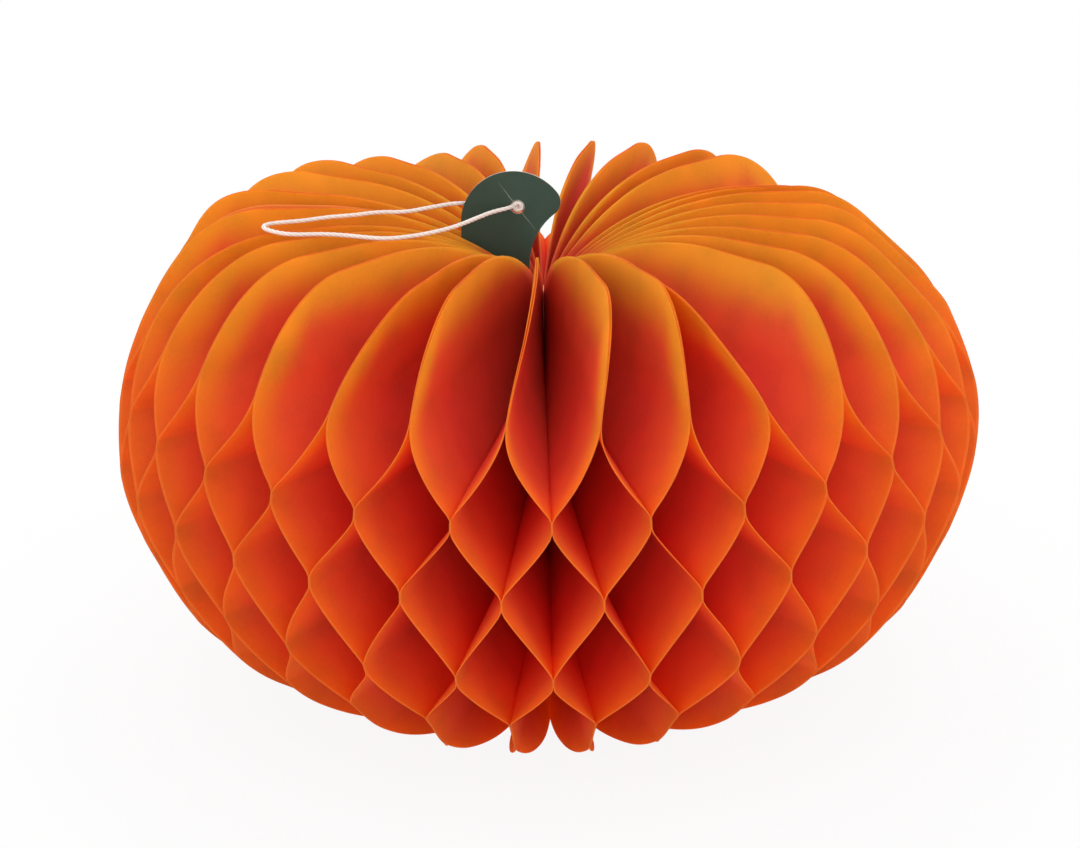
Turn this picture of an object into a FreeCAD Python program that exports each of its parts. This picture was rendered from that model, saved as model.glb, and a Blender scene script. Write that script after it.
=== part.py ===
"""Paper honeycomb pumpkin: thirty glued pairs of paper leaves that open like a fan
round a bound spine, between two cover boards, with a punched stem card and a string.

Frame: millimetres, +Z up along the spine, Z = 0 is the surface it stands on.
The cover boards meet on the plane Y = 0, on the -X side, and the stem card stands
between them. Cover board A, the spine and the stem stay still; board B fans round.
"""

import FreeCAD, Part
import math
import os
import Sketcher
from FreeCAD import Vector, Placement, Rotation

SIZES = [
    # whole ball
    ("equator_radius", 125.0),
    ("equator_height", 71.0),
    ("crest_height", 142.3),
    ("crest_outer_radius", 78.0),
    ("crest_inner_radius", 64.0),
    ("dimple_arc_radius", 90.0),
    ("foot_radius", 30.0),
    # leaves
    ("sheet_thickness", 0.2),
    ("leaf_inner_radius", 3.0),
    ("end_leaf_inner_radius", 9.0),
    ("pair_clearance", 0.1),
    ("glue_line_height", 4.0),
    ("glue_row_foot", 2.0),
    ("glue_row_bottom", 29.8),
    ("glue_row_lower", 49.2),
    ("glue_row_middle", 73.4),
    ("glue_row_upper", 93.8),
    ("glue_row_top", 119.6),
    # cover boards
    ("board_thickness", 0.3),
    ("board_inset", 1.5),
    ("board_inner_radius", 10.0),
    ("board_clearance", 0.05),
    # closure pads
    ("pad_radius", 96.0),
    ("pad_length", 14.0),
    ("pad_height", 22.0),
    ("pad_spread", 30.0),
    # spine
    ("spine_clearance", 0.3),
    ("spine_setback", 1.5),
    # stem card
    ("card_thickness", 0.45),
    ("card_radius", 15.5),
    ("card_centre_reach", 8.0),
    ("card_centre_drop", 5.85),
    ("card_chin_round", 4.5),
    ("card_neck_reach", 3.8),
    ("card_neck_drop", 12.45),
    ("card_neck_radius", 20.0),
    ("card_tab_drop", 36.45),
    ("card_hole_radius", 2.1),
    ("card_hole_reach", 7.1),
    ("card_hole_rise", 4.95),
    # string
    ("string_diameter", 1.4),
    ("knot_width", 5.0),
    ("knot_depth", 4.2),
    ("knot_round", 1.2),
]
PAIR_COUNT = 30

# Places that follow from the sizes above.
DERIVED = [
    ("pair_pitch", "=360 / %d" % PAIR_COUNT),
    ("card_centre_height", "=crest_height - card_centre_drop"),
    ("card_neck_height", "=card_centre_height - card_neck_drop"),
    ("card_tab_bottom", "=card_centre_height - card_tab_drop"),
    ("card_hole_height", "=card_centre_height + card_hole_rise"),
]
CUT_MARGIN = 2.0  # how far a blank reaches past the outline that trims it
STRING_LAST_RUN = 6.4  # the straight end of the string that enters the knot
STRING_START = (-0.9, 0.6)  # where it leaves the hole, left of and above its centre

# The loop of string, over the crests and back, between its two ends at the knot.
STRING_ROUTE = [
    (-8.0, -2.3, 142.0),
    (-13.6, -7.8, 142.1),
    (-17.6, -15.4, 142.3),
    (-22.2, -24.4, 142.6),
    (-27.2, -30.6, 142.9),
    (-33.2, -36.0, 143.2),
    (-40.0, -39.2, 143.4),
    (-47.6, -37.2, 143.4),
    (-56.6, -35.2, 143.4),
    (-66.6, -36.8, 143.4),
    (-72.8, -33.4, 143.4),
    (-76.0, -29.4, 143.4),
    (-73.6, -26.0, 143.4),
    (-65.4, -23.6, 143.4),
    (-58.6, -19.4, 143.4),
    (-51.6, -17.4, 143.4),
    (-45.0, -13.0, 143.2),
    (-38.2, -12.4, 142.9),
    (-31.0, -5.0, 142.4),
    (-24.8, 2.0, 141.7),
]

document = FreeCAD.newDocument("HoneycombPumpkin")
sheet = document.addObject("Spreadsheet::Sheet", "Sizes")
for row, (alias, value) in enumerate(SIZES + DERIVED, start=1):
    sheet.set("A%d" % row, alias)
    sheet.set("B%d" % row, str(value))
    sheet.setAlias("B%d" % row, alias)
    document.recompute()


def size(alias):
    """A length from the sheet, in millimetres."""
    return float(getattr(sheet, alias))


def add(kind, name, **bound):
    """One object of the document, with the given properties bound to expressions."""
    thing = document.addObject(kind, name)
    thing.Label = name
    for prop, expression in bound.items():
        thing.setExpression(prop.replace("__", "."), expression)
    return thing


# ---------------------------------------------------------------- outline of a leaf


def quarter_ellipse(start, corner, end):
    """A quarter of an ellipse between two points, inside the corner of their tangents."""
    curve = Part.BezierCurve()
    curve.setPoles([start, corner, end])
    curve.setWeight(2, math.sqrt(0.5))
    return curve.toShape()


def dimple_height(radius):
    """Height of the arc that dips from the crest towards the spine."""
    dimple = size("dimple_arc_radius")
    across = size("crest_inner_radius") - radius
    return size("crest_height") - dimple + math.sqrt(dimple**2 - across**2)


def outline_face(inset, inner_radius):
    """The die-cut shape of a leaf in the XZ plane, made smaller all round by inset."""
    middle = size("equator_height")
    rim = size("equator_radius") - inset
    crest = size("crest_height") - inset
    foot = size("foot_radius")
    crest_outer = size("crest_outer_radius")
    crest_inner = size("crest_inner_radius")
    half_way = (crest_inner + inner_radius) / 2
    low_corner = Vector(inner_radius, 0, inset)
    foot_end = Vector(foot, 0, inset)
    rim_point = Vector(rim, 0, middle)
    crest_start = Vector(crest_outer, 0, crest)
    crest_end = Vector(crest_inner, 0, crest)
    dimple_middle = Vector(half_way, 0, dimple_height(half_way) - inset)
    dimple_end = Vector(inner_radius, 0, dimple_height(inner_radius) - inset)
    edges = [
        Part.makeLine(low_corner, foot_end),
        quarter_ellipse(foot_end, Vector(rim, 0, inset), rim_point),
        quarter_ellipse(rim_point, Vector(rim, 0, crest), crest_start),
        Part.makeLine(crest_start, crest_end),
        Part.Arc(crest_end, dimple_middle, dimple_end).toShape(),
        Part.makeLine(dimple_end, low_corner),
    ]
    return Part.Face(Part.Wire(edges))


def outline(name, inset, inner_radius):
    """An outline face as an object, and the solid that it sweeps round the spine."""
    face = document.addObject("Part::Feature", name + "_outline")
    face.Shape = outline_face(inset, inner_radius)
    sweep = add("Part::Revolution", name + "_envelope")
    sweep.Source = face
    sweep.Axis = Vector(0, 0, 1)
    sweep.Base = Vector(0, 0, 0)
    sweep.Solid = True
    sweep.Symmetric = True
    sweep.setExpression("Angle", "Sizes.pair_pitch * 2.5")
    return sweep


# ---------------------------------------------------------------- one wavy leaf

HALF_PITCH = "Sizes.pair_pitch / 2"
BOTTOM = "-%g" % CUT_MARGIN
TOP = "Sizes.crest_height + %g" % CUT_MARGIN
HALF_LINE = "Sizes.glue_line_height / 2"


def leaf_stations(outer_offset):
    """Height, angle and sideways offset of a leaf where it is glued, from foot to crest.

    On rows bottom, middle and top it lies against its partner, on the pair's own plane.
    On rows foot, lower and upper it reaches half a pitch out, to the next pair."""
    mate = ("0", "0")
    neighbour = (HALF_PITCH, "-(Sizes.sheet_thickness + %s)" % outer_offset)
    stations = [(BOTTOM,) + neighbour]
    stations.append(("Sizes.glue_row_foot + %s" % HALF_LINE,) + neighbour)
    rows = [("bottom", mate), ("lower", neighbour), ("middle", mate), ("upper", neighbour)]
    for row, side in rows:
        for sign in "-+":
            height = "Sizes.glue_row_%s %s %s" % (row, sign, HALF_LINE)
            stations.append((height,) + side)
    stations.append(("Sizes.glue_row_top - %s" % HALF_LINE,) + mate)
    stations.append((TOP,) + mate)
    return stations


def leaf(name, inner_alias, outer_offset, envelope):
    """One sheet: a ruled loft through its glue lines, trimmed to the leaf outline."""
    inner = "Sizes.%s" % inner_alias
    sections = []
    for number, (height, angle, offset) in enumerate(leaf_stations(outer_offset), 1):
        strip = add(
            "Part::Plane",
            "%s_line_%d" % (name, number),
            Length="Sizes.equator_radius + %g" % CUT_MARGIN,
            Width="Sizes.sheet_thickness",
        )
        strip.Placement = Placement(Vector(0, 0, 0), Rotation(Vector(0, 0, 1), 1))
        strip.setExpression("Placement.Rotation.Angle", "%s * 1deg" % angle)
        along = "cos(%s * 1deg)" % angle
        aside = "sin(%s * 1deg)" % angle
        strip.setExpression(
            "Placement.Base.x", "%s * %s - (%s) * %s" % (inner, along, offset, aside)
        )
        strip.setExpression(
            "Placement.Base.y", "%s * %s + (%s) * %s" % (inner, aside, offset, along)
        )
        strip.setExpression("Placement.Base.z", height)
        sections.append(strip)
    blank = add("Part::Loft", name + "_blank")
    blank.Sections = sections
    blank.Solid = True
    blank.Ruled = True
    cut = add("Part::Common", name)
    cut.Base = blank
    cut.Tool = envelope
    return cut


def mirrored(name, source):
    """The partner of a leaf, on the other side of the pair's plane."""
    twin = document.addObject("Part::Mirroring", name)
    twin.Source = source
    twin.Normal = Vector(0, 1, 0)
    return twin


def leaf_pair(number, upper_side, lower_side):
    """Two glued leaves, turned from the seam on the -X side to their own place."""
    pair = add("Part::Compound", "leaf_pair_%02d" % number)
    pair.Links = [upper_side, lower_side]
    turn = "180 + Sizes.pair_pitch * (%d - 0.5)" % number
    pair.Placement = Placement(Vector(0, 0, 0), Rotation(Vector(0, 0, 1), 1))
    pair.setExpression("Placement.Rotation.Angle", "(%s) * 1deg" % turn)
    return pair


# ---------------------------------------------------------------- boards, pads, spine

HALF_SEAM = "(Sizes.card_thickness / 2 + Sizes.board_clearance)"


def cover_board(name, envelope, low_side):
    """A board on one side of the seam plane, cut a little smaller than the leaves."""
    blank = add(
        "Part::Box",
        name + "_blank",
        Length="Sizes.equator_radius - Sizes.board_inner_radius",
        Width="Sizes.board_thickness",
        Height="Sizes.crest_height + %g" % CUT_MARGIN,
    )
    blank.setExpression("Placement.Base.x", "Sizes.board_inner_radius")
    blank.setExpression("Placement.Base.y", low_side)
    cut = add("Part::Common", name)
    cut.Base = blank
    cut.Tool = envelope
    cut.Placement = Placement(Vector(0, 0, 0), Rotation(Vector(0, 0, 1), 180))
    return cut


def closure_pad(name, sign):
    """A double-sided pad on board A that holds board B shut."""
    pad = add(
        "Part::Box",
        name,
        Length="Sizes.pad_length",
        Width="%s * 2 - Sizes.board_clearance" % HALF_SEAM,
        Height="Sizes.pad_height",
    )
    pad.setExpression("Placement.Base.x", "-Sizes.pad_radius - Sizes.pad_length / 2")
    pad.setExpression("Placement.Base.y", "-" + HALF_SEAM)
    pad.setExpression(
        "Placement.Base.z",
        "Sizes.equator_height %s Sizes.pad_spread - Sizes.pad_height / 2" % sign,
    )
    return pad


def spine_binding():
    """The bound core that the inner edges of the leaves are held to."""
    core = add(
        "Part::Cylinder",
        "spine_binding",
        Radius="Sizes.leaf_inner_radius - Sizes.spine_clearance",
    )
    core.Height = dimple_height(size("leaf_inner_radius")) - 2 * size("spine_setback")
    core.setExpression("Placement.Base.z", "Sizes.spine_setback")
    return core


# ---------------------------------------------------------------- stem, string, knot


def constrain(sketch, kind, *where, bound=None):
    """One constraint of a sketch, bound to an expression when it has a size."""
    index = sketch.addConstraint(Sketcher.Constraint(kind, *where))
    if bound:
        sketch.setExpression("Constraints[%d]" % index, bound)


def turn_of(direction):
    """The angle of a direction in the plane of the card, in radians."""
    return math.atan2(direction.y, direction.x)


def meeting_point(left, left_reach, right, right_reach):
    """The upper of the two points that lie at the given distances from two centres."""
    between = right - left
    span = between.Length
    along = (left_reach**2 - right_reach**2 + span**2) / (2 * span)
    across = math.sqrt(left_reach**2 - along**2)
    between.normalize()
    return left + between * along + Vector(-between.y, between.x, 0) * across


def stem_card():
    """A flat card: a round head with a punched hole, a chin, a neck and a tab."""
    body = document.addObject("PartDesign::Body", "stem_card")
    body.Label = "stem_card"
    sketch = body.newObject("Sketcher::SketchObject", "stem_outline")
    plane = [f for f in body.Origin.OriginFeatures if f.Role == "XZ_Plane"][0]
    sketch.AttachmentSupport = [(plane, "")]
    sketch.MapMode = "FlatFace"
    radius = size("card_radius")
    centre = Vector(-size("card_centre_reach"), size("card_centre_height"), 0)
    left = centre - Vector(radius, 0, 0)
    neck = Vector(-size("card_neck_reach"), size("card_neck_height"), 0)
    low_right = Vector(neck.x, size("card_tab_bottom"), 0)
    low_left = Vector(left.x, size("card_tab_bottom"), 0)
    neck_radius = size("card_neck_radius")
    neck_centre = neck + Vector(neck_radius, 0, 0)
    axis = Vector(0, 0, 1)
    chin_radius = size("card_chin_round")
    chin = meeting_point(centre, radius - chin_radius, neck_centre, neck_radius + chin_radius)
    chin_turn = turn_of(chin - centre)
    neck_turn = turn_of(chin - neck_centre)
    head = Part.Circle(centre, axis, radius)
    curve = Part.Circle(neck_centre, axis, neck_radius)
    chin_circle = Part.Circle(chin, axis, chin_radius)
    hole_centre = Vector(-size("card_hole_reach"), size("card_hole_height"), 0)
    hole = Part.Circle(hole_centre, axis, size("card_hole_radius"))
    sketch.addGeometry(
        [
            Part.ArcOfCircle(head, chin_turn, math.pi),
            Part.ArcOfCircle(curve, neck_turn, math.pi),
            Part.LineSegment(neck, low_right),
            Part.LineSegment(low_right, low_left),
            Part.LineSegment(low_left, left),
            hole,
            Part.ArcOfCircle(chin_circle, neck_turn - math.pi, chin_turn),
        ],
        False,
    )
    start, end, middle, origin = 1, 2, 3, -1
    constrain(sketch, "Tangent", 0, start, 6, end)
    constrain(sketch, "Tangent", 6, start, 1, start)
    constrain(sketch, "Tangent", 1, end, 2, start)
    constrain(sketch, "Coincident", 2, end, 3, start)
    constrain(sketch, "Coincident", 3, end, 4, start)
    constrain(sketch, "Tangent", 4, end, 0, end)
    constrain(sketch, "Horizontal", 3)
    constrain(sketch, "Vertical", 2)
    constrain(sketch, "Vertical", 4)
    places = [
        (0, middle, "centre", centre),
        (5, middle, "hole", hole_centre),
    ]
    for item, point, word, place in places:
        reach = "Sizes.card_%s_reach" % word
        height = "Sizes.card_%s_height" % word
        constrain(sketch, "DistanceX", item, point, origin, 1, -place.x, bound=reach)
        constrain(sketch, "DistanceY", origin, 1, item, point, place.y, bound=height)
    reach = "Sizes.card_neck_reach"
    height = "Sizes.card_neck_height"
    bottom = "Sizes.card_tab_bottom"
    constrain(sketch, "DistanceX", 1, end, origin, 1, -neck.x, bound=reach)
    constrain(sketch, "DistanceY", origin, 1, 1, end, neck.y, bound=height)
    constrain(sketch, "DistanceY", origin, 1, 3, end, low_left.y, bound=bottom)
    constrain(sketch, "Radius", 0, radius, bound="Sizes.card_radius")
    constrain(sketch, "Radius", 1, neck_radius, bound="Sizes.card_neck_radius")
    constrain(
        sketch, "Radius", 5, size("card_hole_radius"), bound="Sizes.card_hole_radius"
    )
    constrain(sketch, "Radius", 6, chin_radius, bound="Sizes.card_chin_round")
    pad = body.newObject("PartDesign::Pad", "stem_thickness")
    pad.Profile = sketch
    pad.Midplane = True
    pad.setExpression("Length", "Sizes.card_thickness")
    return body


def knot():
    """The knot behind the card, too wide for the hole, with flat faces for the string."""
    block = add(
        "Part::Box",
        "knot_block",
        Length="Sizes.knot_width",
        Width="Sizes.knot_depth",
        Height="Sizes.knot_width",
    )
    block.setExpression("Placement.Base.x", "-Sizes.card_hole_reach - Sizes.knot_width / 2")
    block.setExpression("Placement.Base.y", HALF_SEAM)
    block.setExpression("Placement.Base.z", "Sizes.card_hole_height - Sizes.knot_width / 2")
    document.recompute()
    rounded = document.addObject("Part::Fillet", "string_knot")
    rounded.Label = "string_knot"
    rounded.Base = block
    reach = size("knot_round")
    rounded.Edges = [(n + 1, reach, reach) for n in range(len(block.Shape.Edges))]
    return rounded


def string_centre_line():
    """Straight runs joined by tangent arcs, as large as each pair of runs allows."""
    seam = size("card_thickness") / 2 + size("board_clearance")
    reach = -size("card_hole_reach")
    height = size("card_hole_height")
    half_knot = size("knot_width") / 2
    back = seam + size("knot_depth") / 2
    first = Vector(reach + STRING_START[0], seam, height + STRING_START[1])
    last = Vector(reach - half_knot, back, height)
    turn_in = last - Vector(STRING_LAST_RUN, 0, 0)
    points = [first] + [Vector(*p) for p in STRING_ROUTE] + [turn_in, last]
    edges = []
    radii = []
    here = first
    for before, corner, after in zip(points, points[1:], points[2:]):
        come = corner - before
        go = after - corner
        cut = 0.45 * min(come.Length, go.Length)
        half_turn = come.getAngle(go) / 2
        radius = cut / math.tan(half_turn)
        radii.append(radius)
        come.normalize()
        go.normalize()
        enter = corner - come * cut
        leave = corner + go * cut
        inward = go - come
        inward.normalize()
        depth = radius * (1 / math.cos(half_turn) - 1)
        edges.append(Part.LineSegment(here, enter).toShape())
        edges.append(Part.Arc(enter, corner + inward * depth, leave).toShape())
        here = leave
    edges.append(Part.LineSegment(here, last).toShape())
    print("string arc radii", [round(r, 1) for r in radii])
    return Part.Wire(edges)


def hanging_string():
    """The twine loop, a round tube along its centre line."""
    line = string_centre_line()
    radius = size("string_diameter") / 2
    start = line.OrderedVertexes[0].Point
    section = Part.Wire(Part.Circle(start, Vector(0, -1, 0), radius).toShape())
    tube = line.makePipeShell([section], True, False)
    twine = document.addObject("Part::Feature", "hanging_string")
    twine.Label = "hanging_string"
    twine.Shape = tube
    share = tube.Volume / (math.pi * radius**2 * line.Length)
    print("string length %.1f, volume share %.4f" % (line.Length, share))
    return twine


# ---------------------------------------------------------------- the whole ball


def leaf_pairs():
    """All pairs; the first and last leaf stand off further, for the boards."""
    plain_envelope = outline("plain", 0.0, size("leaf_inner_radius"))
    end_envelope = outline("end", 0.0, size("end_leaf_inner_radius"))
    gap = "Sizes.pair_clearance / 2"
    board = "(%s + Sizes.board_thickness + Sizes.board_clearance)" % HALF_SEAM
    right = leaf("right_leaf", "leaf_inner_radius", gap, plain_envelope)
    left = mirrored("left_leaf", right)
    last = leaf("last_leaf", "end_leaf_inner_radius", board, end_envelope)
    first = mirrored("first_leaf", last)
    pairs = []
    for number in range(1, PAIR_COUNT + 1):
        upper_side = last if number == PAIR_COUNT else right
        lower_side = first if number == 1 else left
        pairs.append(leaf_pair(number, upper_side, lower_side))
    return pairs


def build():
    """Every sub-part, each a shape in its own place."""
    parts = leaf_pairs()
    board_envelope = outline("board", size("board_inset"), size("board_inner_radius"))
    board_side = "(%s + Sizes.board_thickness)" % HALF_SEAM
    parts.append(cover_board("cover_board_a", board_envelope, HALF_SEAM))
    parts.append(cover_board("cover_board_b", board_envelope, "-" + board_side))
    parts.append(closure_pad("closure_pad_upper", "+"))
    parts.append(closure_pad("closure_pad_lower", "-"))
    parts.append(spine_binding())
    parts.append(stem_card())
    parts.append(knot())
    parts.append(hanging_string())
    return parts


def check(parts):
    """Stop before anything is written if an object failed or a shape is not sound."""
    for thing in document.Objects:
        if "Invalid" in thing.State or "Error" in thing.State:
            raise RuntimeError("%s failed: %s" % (thing.Label, thing.State))
    for part in parts:
        if part.Shape.isNull() or not part.Shape.isValid() or not part.Shape.Solids:
            raise RuntimeError("%s has no sound shape" % part.Label)


parts = build()
document.recompute()
check(parts)
os.makedirs("parts", exist_ok=True)
for part in parts:
    part.Shape.exportStep(os.path.join("parts", part.Label + ".step"))
print(len(parts), "sub-parts written")
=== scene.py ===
"""Looks of the paper honeycomb pumpkin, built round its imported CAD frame."""

import math

import bpy
from bpy.props import BoolProperty, FloatProperty, FloatVectorProperty, IntProperty
from bpy.props import PointerProperty
from mathutils import Matrix, Vector


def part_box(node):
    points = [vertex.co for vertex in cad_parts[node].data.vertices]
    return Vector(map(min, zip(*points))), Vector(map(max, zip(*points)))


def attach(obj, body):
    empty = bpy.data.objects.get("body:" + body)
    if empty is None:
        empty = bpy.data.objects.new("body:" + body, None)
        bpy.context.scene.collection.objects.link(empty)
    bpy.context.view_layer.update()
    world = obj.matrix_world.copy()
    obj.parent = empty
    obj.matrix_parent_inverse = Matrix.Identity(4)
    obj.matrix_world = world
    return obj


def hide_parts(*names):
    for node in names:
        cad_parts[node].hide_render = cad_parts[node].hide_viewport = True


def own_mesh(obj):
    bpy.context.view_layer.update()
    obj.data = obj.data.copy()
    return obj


bl_info = {
    "name": "Honeycomb Pumpkin",
    "version": (1, 0, 0),
    "blender": (4, 5, 0),
    "location": "3D View > Sidebar > Pumpkin",
    "description": "Builds a paper honeycomb pumpkin round its CAD frame",
    "category": "Add Mesh",
}

MM = 0.001

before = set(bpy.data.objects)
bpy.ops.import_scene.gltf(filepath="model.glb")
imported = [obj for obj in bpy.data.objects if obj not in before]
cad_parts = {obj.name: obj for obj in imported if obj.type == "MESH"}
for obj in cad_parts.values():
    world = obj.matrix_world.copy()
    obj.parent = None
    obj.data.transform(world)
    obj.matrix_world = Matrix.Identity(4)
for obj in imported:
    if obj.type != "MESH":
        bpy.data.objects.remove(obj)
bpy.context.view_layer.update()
pair_names = sorted(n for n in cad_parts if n.startswith("leaf_pair_"))
_, leaf_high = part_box(pair_names[len(pair_names) // 2])
knot_low, knot_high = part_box("string_knot")
board_low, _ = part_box("cover_board_a")
PITCH = math.tau / len(pair_names)

# ------------------------------------------------------------------ sizes and colours


def length(name, text, default, low=0.0, high=1.0):
    """A length property in metres."""
    return FloatProperty(
        name=name,
        description=text,
        default=default,
        min=low,
        max=high,
        subtype="DISTANCE",
        unit="LENGTH",
    )


def share(name, text, default, high=1.0):
    """A plain factor."""
    return FloatProperty(name=name, description=text, default=default, min=0.0, max=high)


def colour(name, text, default):
    """A linear colour with alpha."""
    return FloatVectorProperty(
        name=name,
        description=text,
        default=default,
        min=0.0,
        max=1.0,
        size=4,
        subtype="COLOR",
    )


class PumpkinLeafSizes(bpy.types.PropertyGroup):
    """The cut outline, the glue lines and the unevenness of the paper leaves."""

    equator_radius: length("Equator radius", "Reach of a leaf from the spine", 0.125)
    equator_height: length("Equator height", "Height of the widest place", 0.071)
    crest_height: length("Crest height", "Height of the top edge", leaf_high.z)
    crest_outer: length("Crest outer radius", "Where the top edge starts to fall", 0.078)
    crest_inner: length("Crest inner radius", "Where the dimple starts", 0.064)
    dimple_radius: length("Dimple arc radius", "Radius of the arc into the dimple", 0.09)
    foot_radius: length("Foot radius", "Reach of the level foot edge", 0.03)
    inner_radius: length("Inner radius", "Gap from the spine axis", 0.003)
    end_inner_radius: length("End inner radius", "The same, beside a board", 0.009)
    thickness: length("Sheet thickness", "Thickness of the paper", 0.0002)
    glue_line: length("Glue line height", "Height of one glue line", 0.004)
    foot_line: length("Foot line", "Top of the glue line along the foot", 0.0012)
    row_bottom: length("Bottom row", "Height of the bottom glue row", 0.0298)
    row_lower: length("Lower row", "Height of the lower glue row", 0.0492)
    row_middle: length("Middle row", "Height of the middle glue row", 0.0734)
    row_upper: length("Upper row", "Height of the upper glue row", 0.0938)
    row_top: length("Top row", "Height of the top glue row", 0.1196)
    roundness: share("Roundness", "How softly a leaf bends beside a glue line", 0.18)
    bulge: share("Bulge", "Bow of the paper between glue lines, in half pitches", 0.08)
    curl: share("Curl", "Unevenness of the free top petals, in radians", 0.25)
    foot_bend: share("Foot bend", "Where a leaf meets its partner again", 0.60)
    foot_ease: share("Foot ease", "How sharply it bends at the foot line", 0.75)
    petal_ease: share("Petal ease", "How softly a petal leaves its glue line", 1.8, 4.0)
    petal_bend: share("Petal bend", "How the lean grows up a petal", 1.8, 4.0)
    lips: share("Lips", "How far a pair's free edges part, in half pitches", 0.02)
    drift: length("Drift", "Unevenness of the whole honeycomb", 0.0012)
    stack_shift: length("Stack shift", "How far the end pairs move in, folded", 0.00045)
    folded_fill: share("Folded fill", "Share of its place that a folded pair fills", 0.8)
    back_sag: length("Back sag", "How far the back of the top edge sinks", 0.0055)
    back_shift: length("Back shift", "How far the back of the top edge moves", 0.007)
    columns: IntProperty(name="Columns", description="Steps across", default=28, min=4)
    rows: IntProperty(name="Rows", description="Steps up", default=150, min=20)


class PumpkinStemSizes(bpy.types.PropertyGroup):
    """The crease of the stem card and the twine."""

    crease_turn: FloatProperty(
        name="Crease turn",
        description="Slope of the crease through the hole",
        default=math.radians(-53.0),
        subtype="ANGLE",
        unit="ROTATION",
    )
    crease_width: length("Crease width", "Half width of the pale crease", 0.00022)
    crease_reach: length("Crease reach", "How far it runs from the hole", 0.0095)
    twine_diameter: length("Twine diameter", "Thickness of the twine", 0.00125)
    turn_radius: length("Turn radius", "Radius of the turn of twine in the hole", 0.00108)


class PumpkinColours(bpy.types.PropertyGroup):
    """Colours of the paper, card and twine, with the painted glow, highlight and shade of
    the paper and the painted shade of the twine.
    """

    paper: colour("Paper", "Orange paper", (0.99, 0.225, 0.062, 1))
    # Painted light: a golden glow painted along the paper's side edges.
    paper_rim_glow: colour("Paper rim", "Paper at its side edges", (0.97, 0.265, 0.032, 1))
    # Painted light: the top of the paper is painted more golden, as lit from above and
    # behind.
    paper_crest_glow: colour("Paper crest", "Paper at its top", (0.995, 0.540, 0.040, 1))
    # Painted shade: the paper is painted redder deep in the cells, towards the spine.
    paper_deep_shade: colour("Deep paper", "Paper near the spine", (0.995, 0.142, 0.088, 1))
    # Also a painted highlight: a thin line of this colour runs along the paper leaves' cut
    # edges; on the cover boards it is their bare core.
    paper_cut_and_highlight: colour("Cut edge", "Fibres at a cut edge", (0.92, 0.28, 0.035, 1))
    card: colour("Card", "Green card", (0.040, 0.075, 0.053, 1))
    card_crease: colour("Crease", "Card worn pale at the crease", (0.26, 0.31, 0.25, 1))
    board: colour("Board", "Cover board", (0.92, 0.25, 0.045, 1))
    card_core: colour("Card core", "Bare card at its cut edge", (0.55, 0.53, 0.47, 1))
    twine: colour("Twine", "Cotton twine", (0.92, 0.86, 0.80, 1))
    # Painted shade: the twine is painted darker in the furrows between its plies.
    twine_shade: colour("Twine furrow", "Between the plies", (0.78, 0.65, 0.57, 1))
    glue: colour("Glue", "Binding glue", (0.78, 0.42, 0.16, 1))
    foam: colour("Foam", "Double-sided pad", (0.85, 0.84, 0.80, 1))


# ------------------------------------------------------------------ node helpers


class Fields:
    """Short names for the maths of a node tree."""

    def __init__(self, tree, prefix="ShaderNode"):
        self.tree = tree
        self.prefix = prefix

    def put(self, kind, **settings):
        node = self.tree.nodes.new(kind)
        for name, value in settings.items():
            setattr(node, name, value)
        return node

    def feed(self, socket, value):
        if isinstance(value, bpy.types.NodeSocket):
            self.tree.links.new(value, socket)
        elif value is not None:
            socket.default_value = value

    def math(self, operation, a, b=None, c=None, clamp=False):
        node = self.put("ShaderNodeMath", operation=operation, use_clamp=clamp)
        for socket, value in zip(node.inputs, (a, b, c)):
            self.feed(socket, value)
        return node.outputs[0]

    def add(self, a, b):
        return self.math("ADD", a, b)

    def take(self, a, b):
        return self.math("SUBTRACT", a, b)

    def times(self, a, b):
        return self.math("MULTIPLY", a, b)

    def over(self, a, b):
        return self.math("DIVIDE", a, b)

    def least(self, *values):
        result = values[0]
        for value in values[1:]:
            result = self.math("MINIMUM", result, value)
        return result

    def ramp(self, value, low, high, smooth=False):
        """0 below low, 1 above high."""
        kind = "SMOOTHSTEP" if smooth else "LINEAR"
        node = self.put("ShaderNodeMapRange", interpolation_type=kind)
        for name, fed in (("Value", value), ("From Min", low), ("From Max", high)):
            self.feed(node.inputs[name], fed)
        return node.outputs["Result"]

    def blend(self, factor, a, b):
        """a where factor is 0, b where it is 1."""
        return self.add(a, self.times(factor, self.take(b, a)))

    def vector(self, x, y, z):
        node = self.put("ShaderNodeCombineXYZ")
        for socket, value in zip(node.inputs, (x, y, z)):
            self.feed(socket, value)
        return node.outputs[0]

    def parts(self, vector):
        node = self.put("ShaderNodeSeparateXYZ")
        self.feed(node.inputs[0], vector)
        return node.outputs

    def scaled(self, vector, factor):
        node = self.put("ShaderNodeVectorMath", operation="SCALE")
        self.feed(node.inputs[0], vector)
        self.feed(node.inputs["Scale"], factor)
        return node.outputs[0]

    def noise(self, vector, scale, detail=1.0, shade=0.0):
        """Smooth noise round zero, from about -0.5 to 0.5; shade picks another one."""
        node = self.put("ShaderNodeTexNoise", noise_dimensions="4D")
        self.feed(node.inputs["Vector"], vector)
        self.feed(node.inputs["W"], shade)
        node.inputs["Scale"].default_value = scale
        node.inputs["Detail"].default_value = detail
        return self.take(node.outputs["Fac"], 0.5)


def new_tree(name, kind, inputs, outputs):
    """A node group with named sockets; returns it with its input and output nodes."""
    tree = bpy.data.node_groups.new(name, kind)
    for socket_name, socket_kind, default in inputs:
        socket = tree.interface.new_socket(
            socket_name, in_out="INPUT", socket_type=socket_kind
        )
        if default is not None:
            socket.default_value = default
    for socket_name, socket_kind in outputs:
        tree.interface.new_socket(socket_name, in_out="OUTPUT", socket_type=socket_kind)
    return tree, tree.nodes.new("NodeGroupInput"), tree.nodes.new("NodeGroupOutput")


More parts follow.
